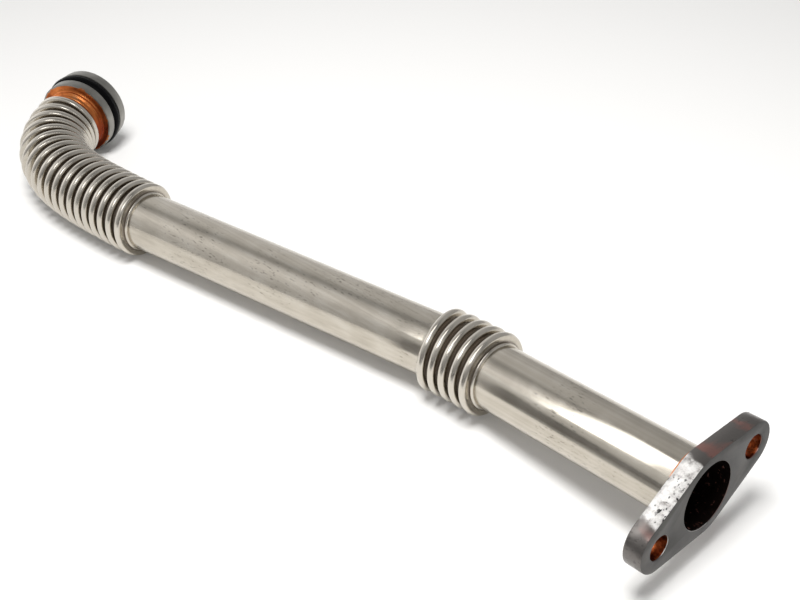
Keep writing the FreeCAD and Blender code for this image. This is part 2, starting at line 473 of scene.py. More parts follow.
# %% Bridge the middle run
short_ring = (lie @ ahead(middle_start, RUN_TO_BELLOWS)).translation
long_ring = (lie @ ahead(middle_end, -RUN_TO_BELLOWS)).translation
found = open_ring_near(tube, short_ring, ring_reach)
mesh = bmesh.from_edit_mesh(tube.data)
kept = [edge for edge in mesh.edges if edge.select]
print("open edges at the middle run:", found, "and", open_ring_near(tube, long_ring, ring_reach))
for edge in kept:
    edge.select = True
bmesh.update_edit_mesh(tube.data)
bpy.ops.mesh.bridge_edge_loops()
bpy.ops.mesh.select_all(action="SELECT")
bpy.ops.mesh.normals_make_consistent(inside=False)
bpy.ops.object.mode_set(mode="OBJECT")
print("faces of the tube's outer skin:", len(tube.data.polygons))

# %% [markdown]
# ## The wall
#
# The sheet is half a millimetre thick, which shows at the rim inside the flange. A Solidify
# modifier gives it that thickness inward, so the outside keeps its size. The inner skin gets a
# material slot of its own, because the bore is painted near black as shade, where the outside is
# bright.

# %% Materials are named here and made further down
def new_material(name):
    """An empty node material with its Principled shader."""
    material = bpy.data.materials.new(name)
    material.use_nodes = True
    return material


tube_steel = new_material("mill_polished_stainless_tube")
bellows_steel = new_material("satin_formed_stainless_bellows")
bore_steel = new_material("painted_shade_inside_the_tube")
flange_steel = new_material("blanked_mild_steel_flange")
hole_tint = new_material("copper_stained_bolt_hole")
braze_copper = new_material("furnace_copper_braze")
collar_steel = new_material("turned_steel_collar")
seal_rubber = new_material("moulded_black_seal_rubber")
print("materials:", [material.name for material in bpy.data.materials])

# %% Material slots of the tube
FORMED_HALF = 2.85 * MM
tube.data.materials.append(tube_steel)
tube.data.materials.append(bellows_steel)
tube.data.materials.append(bore_steel)
bellows_spots = [lie @ place for place in short_crests + long_crests]
make_active(tube)
bpy.ops.object.mode_set(mode="EDIT")
bpy.ops.mesh.select_mode(type="FACE")
bpy.ops.mesh.select_all(action="DESELECT")
mesh = bmesh.from_edit_mesh(tube.data)
formed = 0
for face in mesh.faces:
    middle = face.calc_center_median()
    face.select = any(
        abs((middle - place.translation).dot(place.to_3x3().col[2])) < FORMED_HALF
        and (middle - place.translation).length < CREST_R * 1.1 for place in bellows_spots)
    formed += face.select
bmesh.update_edit_mesh(tube.data)
tube.active_material_index = 1
bpy.ops.object.material_slot_assign()
bpy.ops.object.mode_set(mode="OBJECT")
print("faces of the bellows:", formed)

# %% Wall of the tube
wall = tube.modifiers.new("wall", "SOLIDIFY")
wall.thickness = WALL
wall.offset = -1
wall.use_even_offset = True
wall.material_offset = 2
wall.material_offset_rim = 0
make_active(tube)
bpy.ops.object.modifier_apply(modifier="wall")
smooth(tube, 50)
print("triangles of the tube:", sum(len(face.vertices) - 2 for face in tube.data.polygons))
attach(tube, "root")
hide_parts("pipe")

# %% [markdown]
# ## The flange
#
# A two-bolt flange is blanked from plate: a diamond with round ends. Its outline is the hull
# round three discs, so three cylinders are joined and wrapped by the convex hull operator, and
# its holes are cut with Boolean modifiers. The edges are worn about a third of a millimetre
# wide. They are bevelled after the bolt holes and before the port, because the step inside the
# port is thinner than the bevel: bevelled later, its faces would lie across the bore.

# %% Discs and cuts
def disc(name, radius, bottom, top, aside=0.0, corners=96, flare=0.0):
    """A cylinder, or a cone that widens upward by flare, on the Z axis or beside it."""
    deselect_all()
    bpy.ops.mesh.primitive_cone_add(
        vertices=corners, radius1=radius, radius2=radius + flare, depth=top - bottom,
        location=(aside, 0, (top + bottom) / 2),
    )
    piece = bpy.context.object
    piece.name = piece.data.name = name
    bpy.ops.object.transform_apply()
    return piece


def cut(piece, cutter):
    """Takes the cutter's shape out of the piece, then deletes the cutter."""
    make_active(piece)
    hole = piece.modifiers.new("hole", "BOOLEAN")
    hole.object = cutter
    hole.operation = "DIFFERENCE"
    hole.solver = "EXACT"
    bpy.ops.object.modifier_apply(modifier="hole")
    deselect_all()
    cutter.select_set(True)
    bpy.ops.object.delete()


# %% Wrap the plate round three discs
flange = disc("flange_plate", TUBE_R + TUBE_RIM, -FLANGE_THICKNESS, 0)
for side in (-1, 1):
    bolt_at = side * BOLT_SPACING / 2
    end = disc("flange_end", BOLT_HOLE_R + BOLT_RIM, -FLANGE_THICKNESS, 0, bolt_at)
    end.select_set(True)
    flange.select_set(True)
    bpy.context.view_layer.objects.active = flange
    bpy.ops.object.join()
make_active(flange)
bpy.ops.object.mode_set(mode="EDIT")
bpy.ops.mesh.select_all(action="SELECT")
bpy.ops.mesh.convex_hull()
bpy.ops.mesh.select_all(action="SELECT")
bpy.ops.mesh.dissolve_limited(angle_limit=radians(0.3))
bpy.ops.object.mode_set(mode="OBJECT")
print("faces of the blank plate:", len(flange.data.polygons))

# %% Drill the bolt holes, wear the edges, then bore the port
OVER = 1.0 * MM
WORN_EDGE = 0.35 * MM
PORT_R = TUBE_R - FLANGE_STEP
PORT_EDGE = 0.15 * MM
below = -FLANGE_THICKNESS - OVER
for side in (-1, 1):
    cut(flange, disc("bolt_hole", BOLT_HOLE_R, below, OVER, side * BOLT_SPACING / 2, 64))
make_active(flange)
edges = flange.modifiers.new("worn_edges", "BEVEL")
edges.width = WORN_EDGE
edges.segments = 2
edges.limit_method = "ANGLE"
edges.angle_limit = radians(50)
bpy.ops.object.modifier_apply(modifier="worn_edges")
cut(flange, disc("port", PORT_R, below, OVER))
cut(flange, disc("port_edge", PORT_R - PORT_EDGE, -2 * PORT_EDGE, PORT_EDGE, flare=3 * PORT_EDGE))
cut(flange, disc("socket", SOCKET_R, below, FLANGE_SOCKET - FLANGE_THICKNESS))
smooth(flange, 40)

# %% Slots of the bolt holes and the port, and the flange in its place
flange.data.materials.append(flange_steel)
flange.data.materials.append(hole_tint)
flange.data.materials.append(bore_steel)
make_active(flange)
bpy.ops.object.mode_set(mode="EDIT")
bpy.ops.mesh.select_mode(type="FACE")
slot_faces = []
for slot, aside, radius in ((1, BOLT_SPACING / 2, BOLT_HOLE_R), (2, 0, SOCKET_R)):
    bpy.ops.mesh.select_all(action="DESELECT")
    mesh = bmesh.from_edit_mesh(flange.data)
    for face in mesh.faces:
        middle = face.calc_center_median()
        off_hole = ((abs(middle.x) - aside) ** 2 + middle.y ** 2) ** 0.5
        face.select = off_hole < radius + 0.05 * MM and abs(face.normal.z) < 0.3
    slot_faces.append(sum(face.select for face in mesh.faces))
    bmesh.update_edit_mesh(flange.data)
    flange.active_material_index = slot
    bpy.ops.object.material_slot_assign()
bpy.ops.object.mode_set(mode="OBJECT")
put_in_place(flange, flange_place)
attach(flange, "root")
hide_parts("flange")
print("faces of the bolt holes and the port:", slot_faces, "of", len(flange.data.polygons))

# %% [markdown]
# ## The braze at the flange
#
# Molten copper is drawn into the corner between plate and tube and freezes in a hollow fillet.
# A closed ring of rings gives the fillet, and a Displace modifier with a fine cloud texture
# makes it as uneven as braze is.

# %% Fillet of braze
def lumps(piece, name, strength, size):
    """Uneven surface from a cloud texture, applied to the mesh."""
    cloud = bpy.data.textures.new(name, "CLOUDS")
    cloud.noise_scale = size
    cloud.noise_depth = 2
    make_active(piece)
    uneven = piece.modifiers.new(name, "DISPLACE")
    uneven.texture = cloud
    uneven.texture_coords = "LOCAL"
    uneven.strength = strength
    uneven.mid_level = 0.5
    bpy.ops.object.modifier_apply(modifier=name)


fillet_end = -FLANGE_THICKNESS - FLANGE_FILLET
fillet_start = -FLANGE_THICKNESS - 0.02 * MM
UNDER_SKIN = TUBE_R - 0.1 * MM
fillet_profile = [(fillet_start, UNDER_SKIN), (fillet_start, TUBE_R + FLANGE_FILLET)]
fillet_profile += arc(fillet_end, TUBE_R + FLANGE_FILLET, FLANGE_FILLET * 0.94, 0, -90, 6)
fillet_profile += [(fillet_end, UNDER_SKIN)]
flange_braze = extrude_rings("flange_braze_fillet", fillet_profile, closed=True)
lumps(flange_braze, "fillet_lumps", 0.1 * MM, 2.2 * MM)
smooth(flange_braze, 60)
flange_braze.data.materials.append(braze_copper)
put_in_place(flange_braze, flange_place)
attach(flange_braze, "root")
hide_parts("flange_braze")
print("fillet faces:", len(flange_braze.data.polygons))

# %% [markdown]
# ## The end collar
#
# The collar is turned from bar: a band, a groove for the seal and a lip that guides the pipe
# into its housing. Its profile is walked once round as a closed chain of rings, with small
# chamfers where the lathe tool broke the edges.

# %% Model the collar
CHAMFER = 0.3 * MM
groove_near = NECK + COLLAR_WIDTH
lip_near = groove_near + GROOVE_WIDTH
tip = lip_near + LIP_WIDTH
collar = extrude_rings(
    "end_collar_turned",
    [
        (NECK, SOCKET_R),
        (NECK, COLLAR_R - CHAMFER),
        (NECK + CHAMFER * 0.35, COLLAR_R - CHAMFER * 0.35),
        (NECK + CHAMFER, COLLAR_R),
        (groove_near - CHAMFER * 0.6, COLLAR_R),
        (groove_near, COLLAR_R - CHAMFER * 0.6),
        (groove_near, GROOVE_R + CHAMFER * 0.5),
        (groove_near + CHAMFER * 0.5, GROOVE_R),
        (lip_near - CHAMFER * 0.5, GROOVE_R),
        (lip_near, GROOVE_R + CHAMFER * 0.5),
        (lip_near, LIP_R - CHAMFER),
        (lip_near + CHAMFER * 0.35, LIP_R - CHAMFER * 0.35),
        (lip_near + CHAMFER, LIP_R - 0.03 * MM),
        (tip - CHAMFER * 2.4, LIP_R - TIP_DROP),
        (tip - CHAMFER * 1.1, LIP_R - TIP_DROP - CHAMFER * 0.45),
        (tip - CHAMFER * 0.3, LIP_R - TIP_DROP - CHAMFER * 1.3),
        (tip, LIP_R - TIP_DROP - CHAMFER * 2.6),
        (tip, TUBE_R - WALL + CHAMFER),
        (tip - CHAMFER, TUBE_R - WALL),
        (NECK + COLLAR_SOCKET, TUBE_R - WALL),
        (NECK + COLLAR_SOCKET, SOCKET_R),
    ],
    closed=True,
)
smooth(collar, 30)
collar.data.materials.append(collar_steel)
put_in_place(collar, collar_place)
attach(collar, "root")
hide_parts("end_collar")
print("collar faces:", len(collar.data.polygons))

# %% [markdown]
# ## The seal ring
#
# The seal is a moulded rubber ring that fills the groove and stands a little proud, so the
# housing squeezes it. Its crown is rounded with a low ridge where the two halves of the mould
# met, which catches the light as one thin line.

# %% Model the seal
SEAL_GAP = 0.15 * MM
SEAL_FLOOR = GROOVE_R + 0.1 * MM
seal_near = groove_near + SEAL_GAP
seal_far = lip_near - SEAL_GAP
seal_middle = (seal_near + seal_far) / 2
seal = extrude_rings(
    "seal_ring_moulded",
    [
        (seal_near + 0.3 * MM, SEAL_FLOOR),
        (seal_near, SEAL_FLOOR + 0.4 * MM),
        (seal_near, SEAL_R - 1.5 * MM),
        (seal_near + 0.12 * MM, SEAL_R - 1.0 * MM),
        (seal_near + 0.55 * MM, SEAL_R - 0.5 * MM),
        (seal_near + 1.1 * MM, SEAL_R - 0.2 * MM),
        (seal_middle - 0.35 * MM, SEAL_R - 0.1 * MM),
        (seal_middle - 0.1 * MM, SEAL_R - 0.09 * MM),
        (seal_middle, SEAL_R),
        (seal_middle + 0.1 * MM, SEAL_R - 0.09 * MM),
        (seal_middle + 0.35 * MM, SEAL_R - 0.1 * MM),
        (seal_far - 1.1 * MM, SEAL_R - 0.2 * MM),
        (seal_far - 0.55 * MM, SEAL_R - 0.5 * MM),
        (seal_far - 0.12 * MM, SEAL_R - 1.0 * MM),
        (seal_far, SEAL_R - 1.5 * MM),
        (seal_far, SEAL_FLOOR + 0.4 * MM),
        (seal_far - 0.3 * MM, SEAL_FLOOR),
    ],
    closed=True,
)
smooth(seal, 50)
seal.data.materials.append(seal_rubber)
put_in_place(seal, collar_place)
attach(seal, "root")
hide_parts("seal_ring")
print("seal faces:", len(seal.data.polygons))

# %% [markdown]
# ## The copper neck
#
# Between the last convolution and the collar the braze has filled the whole corner: a smooth
# neck, a round bead and a thin lap on the collar's face. Copper that has run is never even, so
# the rings are many and the cloud texture moves them by a few tenths of a millimetre.

# %% Model the copper neck
NECK_START = 0.3 * MM
NECK_R = TUBE_R + 1.45 * MM
BRAZE_BEAD_R = TUBE_R + 2.7 * MM
LAP_R = COLLAR_R - 0.75 * MM
bead_middle = NECK - 1.8 * MM
neck_profile = [
    (NECK_START, TUBE_R - 0.2 * MM),
    (NECK_START, NECK_R - 0.9 * MM),
    (NECK_START + 0.25 * MM, NECK_R - 0.35 * MM),
    (NECK_START + 0.7 * MM, NECK_R - 0.05 * MM),
    (NECK_START + 1.1 * MM, NECK_R + 0.05 * MM),
    (NECK_START + 1.5 * MM, NECK_R + 0.2 * MM),
]
neck_profile += arc(bead_middle + 0.02 * MM, BRAZE_BEAD_R - 0.75 * MM, 0.75 * MM, 160, 35, 6)
neck_profile += [
    (bead_middle + 0.95 * MM, BRAZE_BEAD_R - 0.3 * MM),
    (bead_middle + 1.3 * MM, BRAZE_BEAD_R + 0.15 * MM),
    (bead_middle + 1.55 * MM, BRAZE_BEAD_R + 1.1 * MM),
    (bead_middle + 1.68 * MM, LAP_R - 0.4 * MM),
    (NECK - 0.02 * MM, LAP_R),
    (NECK - 0.01 * MM, TUBE_R - 0.2 * MM),
]
neck = extrude_rings("copper_neck", neck_profile, closed=True)
lumps(neck, "neck_lumps", 0.2 * MM, 5.0 * MM)
smooth(neck, 70)
neck.data.materials.append(braze_copper)
put_in_place(neck, collar_place)
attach(neck, "root")
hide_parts("collar_braze")
print("neck faces:", len(neck.data.polygons))

# %% [markdown]
# ## Colours and nodes
#
# Colours are written as the hex values a painter would pick and turned to the linear values
# that light works in. One function adds any node with its settings and links.

# %% Colours
def colour(hex_text, alpha=1.0):
    """sRGB hex to linear colour."""
    values = [int(hex_text[place:place + 2], 16) / 255 for place in (0, 2, 4)]
    linear = [value / 12.92 if value <= 0.04045 else ((value + 0.055) / 1.055) ** 2.4
              for value in values]
    return linear + [alpha]


def grey(level):
    """Linear grey of a level."""
    return (level, level, level, 1)


print("white card in linear values:", [round(value, 3) for value in colour("F1F0EE")])


# %% Nodes
def set_inputs(node, inputs):
    """Links or sets a node's inputs by name or number."""
    for name, value in inputs.items():
        socket = node.inputs[name]
        if isinstance(value, bpy.types.NodeSocket):
            node.id_data.links.new(value, socket)
        else:
            socket.default_value = value


def add_node(tree, kind, inputs=None, **settings):
    """Adds a node with its settings, and links or sets its inputs."""
    node = tree.nodes.new(kind)
    for name, value in settings.items():
        setattr(node, name, value)
    set_inputs(node, inputs or {})
    return node


# %% Ramps, coordinates and the shader
def set_ramp(ramp_node, stops):
    """Colour stops of a ramp as (place, linear colour)."""
    ramp = ramp_node.color_ramp
    while len(ramp.elements) > 1:
        ramp.elements.remove(ramp.elements[-1])
    ramp.elements[0].position, ramp.elements[0].color = stops[0]
    for place, shade in stops[1:]:
        ramp.elements.new(place).color = shade


def object_space(tree, place=None):
    """Object coordinates, or the coordinates in the frame of a place on the part."""
    where = add_node(tree, "ShaderNodeTexCoord").outputs["Object"]
    if place is None:
        return where
    back = place.inverted()
    return add_node(tree, "ShaderNodeMapping", {
        "Vector": where,
        "Location": back.translation,
        "Rotation": back.to_euler("XYZ"),
    }).outputs["Vector"]


def shader_of(material):
    """The Principled shader of a material."""
    return material.node_tree.nodes["Principled BSDF"]


# %% [markdown]
# ## Mill polished stainless tube
#
# The tube is rolled from sheet and polished along its length. It reflects its surroundings in
# long bands, softened by a grain too fine to see, and handling has left short dark scratches.
# The grain is noise stretched along the tube: 0.08 mm apart across and 50 mm long. The two runs
# aren't in line, so each has its own coordinates, and the pattern follows both. The bellows are
# the same steel, a little duller from forming, with a grain of 0.3 mm that has no direction.

# %% Coordinates that follow the tube
KINK_X = -FLANGE_THICKNESS - FLANGE_RUN - SHORT_COUNT * SHORT_PITCH / 2


def run_space(tree):
    """Coordinates along the long run, or along the flange's run past the kink."""
    turned = Matrix.Rotation(pi / 2, 4, "Y")
    long_run = object_space(tree, long_crests[0] @ turned)
    flange_run = object_space(tree, flange_place @ turned)
    along = add_node(tree, "ShaderNodeSeparateXYZ", {"Vector": object_space(tree)}).outputs["X"]
    past_kink = add_node(tree, "ShaderNodeMath", {
        0: along, 1: KINK_X}, operation="GREATER_THAN").outputs[0]
    return add_node(tree, "ShaderNodeMix", {
        0: past_kink, 4: long_run, 5: flange_run}, data_type="VECTOR").outputs[1]


print("the kink is at x in mm:", round(KINK_X / MM, 1))


# %% Tone and scratches of the stainless
def drawn_tone(tree, where, mottle):
    """Warm grey in soft streaks 1.4 mm apart, which drawing the tube leaves."""
    streak_space = add_node(tree, "ShaderNodeMapping", {
        "Vector": where, "Scale": (9, 700, 700)}).outputs[0]
    streak = add_node(tree, "ShaderNodeTexNoise", {
        "Vector": streak_space, "Scale": 1.0, "Detail": 3.0}).outputs["Fac"]
    drawn = add_node(tree, "ShaderNodeMath", {0: mottle, 1: streak}, operation="ADD").outputs[0]
    drawn = add_node(tree, "ShaderNodeMath", {0: drawn, 1: 0.5}, operation="MULTIPLY").outputs[0]
    tone = add_node(tree, "ShaderNodeValToRGB", {"Fac": drawn})
    set_ramp(tone, [(0.34, colour("B1AA9E")), (0.5, colour("BCB5A9")), (0.64, colour("C5BFB4"))])
    return tone.outputs["Color"]


def scratch_marks(tree, where, strength):
    """Short dark scratches, 0.7 mm apart, that gather in patches 36 mm wide."""
    scuff_space = add_node(tree, "ShaderNodeMapping", {
        "Vector": where, "Scale": (420, 1500, 1500)}).outputs[0]
    scuff = add_node(tree, "ShaderNodeTexNoise", {
        "Vector": scuff_space, "Scale": 1.0, "Detail": 3.0}).outputs["Fac"]
    patch = add_node(tree, "ShaderNodeTexNoise", {
        "Vector": where, "Scale": 28.0, "Detail": 2.0}).outputs["Fac"]
    marks = add_node(tree, "ShaderNodeMapRange", {
        "Value": scuff, "From Min": 0.6, "From Max": 0.68,
    }, interpolation_type="SMOOTHSTEP").outputs[0]
    where_marks = add_node(tree, "ShaderNodeMapRange", {
        "Value": patch, "From Min": 0.47, "From Max": 0.57,
    }, interpolation_type="SMOOTHSTEP").outputs[0]
    dark = add_node(tree, "ShaderNodeMath", {
        0: marks, 1: where_marks}, operation="MULTIPLY").outputs[0]
    return add_node(tree, "ShaderNodeMath", {
        0: dark, 1: strength}, operation="MULTIPLY").outputs[0]


# %% Stainless of the straight runs and the bellows
def stainless(material, grain_scale, roughness_low, roughness_high, scratches):
    """Grey steel with a fine grain, soft streaks, mottling and scratches."""
    tree = material.node_tree
    where = run_space(tree)
    grain_space = add_node(tree, "ShaderNodeMapping", {
        "Vector": where, "Scale": grain_scale}).outputs[0]
    grain = add_node(tree, "ShaderNodeTexNoise", {
        "Vector": grain_space, "Scale": 1.0, "Detail": 4.0}).outputs["Fac"]
    mottle = add_node(tree, "ShaderNodeTexNoise", {
        "Vector": where, "Scale": 90.0, "Detail": 5.0}).outputs["Fac"]
    base = add_node(tree, "ShaderNodeMix", {
        "Factor": scratch_marks(tree, where, scratches), 6: drawn_tone(tree, where, mottle),
        7: colour("4E4942"),
    }, data_type="RGBA").outputs[2]
    rough = add_node(tree, "ShaderNodeMapRange", {
        "Value": mottle, "From Min": 0.3, "From Max": 0.7,
        "To Min": roughness_low, "To Max": roughness_high}).outputs[0]
    bump = add_node(tree, "ShaderNodeBump", {
        "Height": grain, "Strength": 0.12, "Distance": 0.02 * MM})
    set_inputs(shader_of(material), {
        "Base Color": base, "Roughness": rough, "Normal": bump.outputs[0], "Metallic": 1.0})
    print("nodes of", material.name + ":", len(tree.nodes))


stainless(tube_steel, (20, 12000, 12000), 0.11, 0.2, 0.5)
stainless(bellows_steel, (3000, 3000, 3000), 0.16, 0.26, 0.25)

# %% [markdown]
# ## Roots and crests of the bellows
#
# The roots are painted dark brown and less metallic, as painted shade in the hollows, and the
# crests are painted lighter, as a painted highlight. A point's height above the root was stored
# on the mesh when it was modelled, as an attribute, so both follow the bellows however it bends.

# %% Painted shade in the roots and painted highlight on the crests
tree = bellows_steel.node_tree
shader = shader_of(bellows_steel)
height = add_node(tree, "ShaderNodeAttribute", attribute_name="height").outputs["Fac"]
# Painted shade: the roots are darkened, standing in for the shadow in the hollows.
painted_root_shade_and_copper_film = add_node(tree, "ShaderNodeMapRange", {
    "Value": height, "From Min": 0.55, "From Max": 0.12,
}, interpolation_type="SMOOTHSTEP").outputs[0]
bare = shader.inputs["Base Color"].links[0].from_socket
# Painted highlight: the crests are painted lighter, standing in for light on them.
painted_crest_highlight = add_node(tree, "ShaderNodeMapRange", {
    "Value": height, "From Min": 0.7, "From Max": 0.95}, interpolation_type="SMOOTHSTEP").outputs[0]
crests = add_node(tree, "ShaderNodeMix", {
    "Factor": painted_crest_highlight, 6: bare, 7: colour("C6C0B6")}, data_type="RGBA").outputs[2]
with_painted_root_shade = add_node(tree, "ShaderNodeMix", {
    "Factor": painted_root_shade_and_copper_film, 6: crests, 7: colour("6F6459")}, data_type="RGBA").outputs[2]
# Less metal in the roots, so the softbox lights the painted shade brown.
metal_part = add_node(tree, "ShaderNodeMapRange", {
    "Value": painted_root_shade_and_copper_film, "To Min": 1.0, "To Max": 0.25}).outputs[0]
set_inputs(shader, {
    "Base Color": with_painted_root_shade,
    "Metallic": metal_part,
})
print("nodes of", bellows_steel.name + ":", len(tree.nodes))

# %% [markdown]
# ## The bore
#
# Inside, the tube has been through the brazing furnace. Its near-black, dull colour is painted
# shade for the deep bore, with a few grains of copper in it. It has no sheen at all, so the deep
# bore stays dark from every side.

# %% Painted shade in the bore
tree = bore_steel.node_tree
shader = shader_of(bore_steel)
where = object_space(tree)
specks = add_node(tree, "ShaderNodeTexNoise", {
    "Vector": where, "Scale": 700.0, "Detail": 4.0}).outputs["Fac"]
# Near black is painted shade for the deep bore; the pale stops are copper grains.
bore_shade_and_speck_tone = add_node(tree, "ShaderNodeValToRGB", {"Fac": specks})
set_ramp(bore_shade_and_speck_tone, [
    (0.3, colour("0B0807")), (0.62, colour("140E0C")),
    (0.7, colour("5A3C36")), (0.76, colour("A08078")),
])
set_inputs(shader, {
    "Base Color": bore_shade_and_speck_tone.outputs["Color"],
    "Metallic": 0.0,
    "Roughness": 1.0,
    "Specular IOR Level": 0.0,
})
print("nodes of", bore_steel.name + ":", len(tree.nodes))

# %% [markdown]
# ## Blanked mild steel
#
# The flange is plain steel that went through the furnace: dark grey and dull on its face, and
# a shade lighter and smoother on the edge that the press cut. Pink stains lie on the edge where
# braze vapour settled, and a ramp along the line of the bolts says where they are likely. The
# face and the edge are told apart by the direction of the surface.

# %% Tone of the flange
tree = flange_steel.node_tree
shader = shader_of(flange_steel)
where = object_space(tree, flange_place)
broad = add_node(tree, "ShaderNodeTexNoise", {
    "Vector": where, "Scale": 75.0, "Detail": 4.0}).outputs["Fac"]
tone = add_node(tree, "ShaderNodeValToRGB", {"Fac": broad})
set_ramp(tone, [(0.3, colour("4B4A49")), (0.5, colour("575655")), (0.75, colour("656361"))])
print("nodes of the flange's tone:", len(tree.nodes))

# %% Stains along the line of the bolts
along_bolts = add_node(tree, "ShaderNodeSeparateXYZ", {"Vector": where}).outputs["X"]
along_share = add_node(tree, "ShaderNodeMapRange", {
    "Value": along_bolts, "From Min": -35 * MM, "From Max": 35 * MM}).outputs[0]
stain_likely = add_node(tree, "ShaderNodeValToRGB", {"Fac": along_share})
set_ramp(stain_likely, [
    (0.04, grey(0.0)), (0.1, grey(0.25)), (0.17, grey(0.0)), (0.5, grey(0.0)), (0.57, grey(1.0)),
    (0.67, grey(0.75)), (0.76, grey(0.2)), (0.84, grey(0.7)), (0.9, grey(0.0)),
])
stain_noise = add_node(tree, "ShaderNodeTexNoise", {
    "Vector": where, "Scale": 55.0, "Detail": 5.0, "Distortion": 0.6})
stain_sum = add_node(tree, "ShaderNodeMath", {
    0: stain_likely.outputs["Color"], 1: 0.28, 2: stain_noise.outputs["Fac"],
}, operation="MULTIPLY_ADD").outputs[0]
stain = add_node(tree, "ShaderNodeMapRange", {
    "Value": stain_sum, "From Min": 0.62, "From Max": 0.76,
}, interpolation_type="SMOOTHSTEP").outputs[0]
print("nodes of the flange with its stains:", len(tree.nodes))

# %% Tell the cut edge from the face
cut_normal = add_node(tree, "ShaderNodeNewGeometry").outputs["Normal"]
heading = add_node(tree, "ShaderNodeVectorMath", {
    0: cut_normal, 1: flange_place.col[2][:3]}, operation="DOT_PRODUCT").outputs["Value"]
facing = add_node(tree, "ShaderNodeMath", {0: heading}, operation="ABSOLUTE").outputs[0]
edge_part = add_node(tree, "ShaderNodeMapRange", {
    "Value": facing, "From Min": 0.9, "From Max": 0.5}, interpolation_type="SMOOTHSTEP").outputs[0]
stain_here = add_node(tree, "ShaderNodeMath", {
    0: stain, 1: edge_part}, operation="MULTIPLY").outputs[0]
blanked = add_node(tree, "ShaderNodeMix", {
    "Factor": edge_part, 6: tone.outputs["Color"], 7: colour("726E6B"),
}, data_type="RGBA").outputs[2]
print("nodes of the flange with its cut edge:", len(tree.nodes))

# %% [markdown]
# ## The painted glare on the edge and its pits
#
# A pale, chipped patch 26 mm long between the middle and one bolt, with ragged ends, is a painted
# highlight: the glare of light on the cut edge, made less metallic so the softbox lights it pale.
# Black pits lie all along the edge, darkest in the glare patch. Both are noise, held inside their
# zones by ranges along the bolts, as the glare has no outline that could be drawn.

# %% The painted glare patch
GLARE_FROM, GLARE_TO = -20 * MM, 6 * MM
ragged = add_node(tree, "ShaderNodeMath", {0: broad, 1: 14 * MM}, operation="MULTIPLY").outputs[0]
ragged = add_node(tree, "ShaderNodeMath", {0: along_bolts, 1: ragged}, operation="ADD").outputs[0]
glare_start = add_node(tree, "ShaderNodeMapRange", {
    "Value": ragged, "From Min": GLARE_FROM, "From Max": GLARE_FROM + 2 * MM,
}, interpolation_type="SMOOTHSTEP").outputs[0]
glare_end = add_node(tree, "ShaderNodeMapRange", {
    "Value": ragged, "From Min": GLARE_TO, "From Max": GLARE_TO - 1.5 * MM,
}, interpolation_type="SMOOTHSTEP").outputs[0]
painted_glare_here = add_node(tree, "ShaderNodeMath", {
    0: glare_start, 1: glare_end}, operation="MULTIPLY").outputs[0]
painted_glare_here = add_node(tree, "ShaderNodeMath", {
    0: painted_glare_here, 1: edge_part}, operation="MULTIPLY").outputs[0]
chipped = add_node(tree, "ShaderNodeTexNoise", {
    "Vector": where, "Scale": 420.0, "Detail": 8.0, "Roughness": 0.65}).outputs["Fac"]
# Pale chips: painted highlight, standing in for the glare of light on the edge.
painted_glare_chips = add_node(tree, "ShaderNodeValToRGB", {"Fac": chipped})
set_ramp(painted_glare_chips, [(0.36, colour("8B8784")), (0.46, colour("C3C0BD")), (0.6, colour("DAD8D5"))])
painted_glare = add_node(tree, "ShaderNodeMix", {
    "Factor": painted_glare_here, 6: blanked, 7: painted_glare_chips.outputs["Color"]}, data_type="RGBA").outputs[2]
stained = add_node(tree, "ShaderNodeMix", {
    "Factor": stain_here, 6: painted_glare, 7: colour("96716A")}, data_type="RGBA").outputs[2]
print("nodes of the flange with its torn patch:", len(tree.nodes))

# %% Pits
pit_noise = add_node(tree, "ShaderNodeTexNoise", {
    "Vector": where, "Scale": 800.0, "Detail": 6.0}).outputs["Fac"]
pits = add_node(tree, "ShaderNodeMapRange", {
    "Value": pit_noise, "From Min": 0.58, "From Max": 0.63,
}, interpolation_type="SMOOTHSTEP").outputs[0]
pit_patch = add_node(tree, "ShaderNodeMapRange", {
    "Value": broad, "From Min": 0.42, "From Max": 0.55, "To Min": 0.1,
}, interpolation_type="SMOOTHSTEP").outputs[0]
pits = add_node(tree, "ShaderNodeMath", {0: pits, 1: pit_patch}, operation="MULTIPLY").outputs[0]
pit_edge = add_node(tree, "ShaderNodeMapRange", {
    "Value": painted_glare_here, "To Min": 0.3, "To Max": 1.0}).outputs[0]
pits = add_node(tree, "ShaderNodeMath", {0: pits, 1: pit_edge}, operation="MULTIPLY").outputs[0]
pits = add_node(tree, "ShaderNodeMath", {0: pits, 1: edge_part}, operation="MULTIPLY").outputs[0]
pitted = add_node(tree, "ShaderNodeMix", {
    "Factor": pits, 6: stained, 7: colour("1B1817")}, data_type="RGBA").outputs[2]
print("nodes of the flange with its pits:", len(tree.nodes))

# %% Sheen and relief of the flange
rough = add_node(tree, "ShaderNodeMapRange", {
    "Value": edge_part, "To Min": 0.52, "To Max": 0.33}).outputs[0]
relief = add_node(tree, "ShaderNodeMath", {0: chipped, 1: pits}, operation="SUBTRACT").outputs[0]
depth = add_node(tree, "ShaderNodeMapRange", {
    "Value": edge_part, "To Min": 0.25, "To Max": 0.9}).outputs[0]
bump = add_node(tree, "ShaderNodeBump", {
    "Height": relief, "Strength": depth, "Distance": 0.12 * MM})
# The glare patch is less metallic, so the softbox lights it pale as a painted highlight.
metal_part = add_node(tree, "ShaderNodeMapRange", {
    "Value": painted_glare_here, "To Min": 1.0, "To Max": 0.4}).outputs[0]
set_inputs(shader, {
    "Base Color": pitted,
    "Metallic": metal_part,
    "Roughness": rough,
    "Normal": bump.outputs[0],
})
print("nodes of", flange_steel.name + ":", len(tree.nodes))
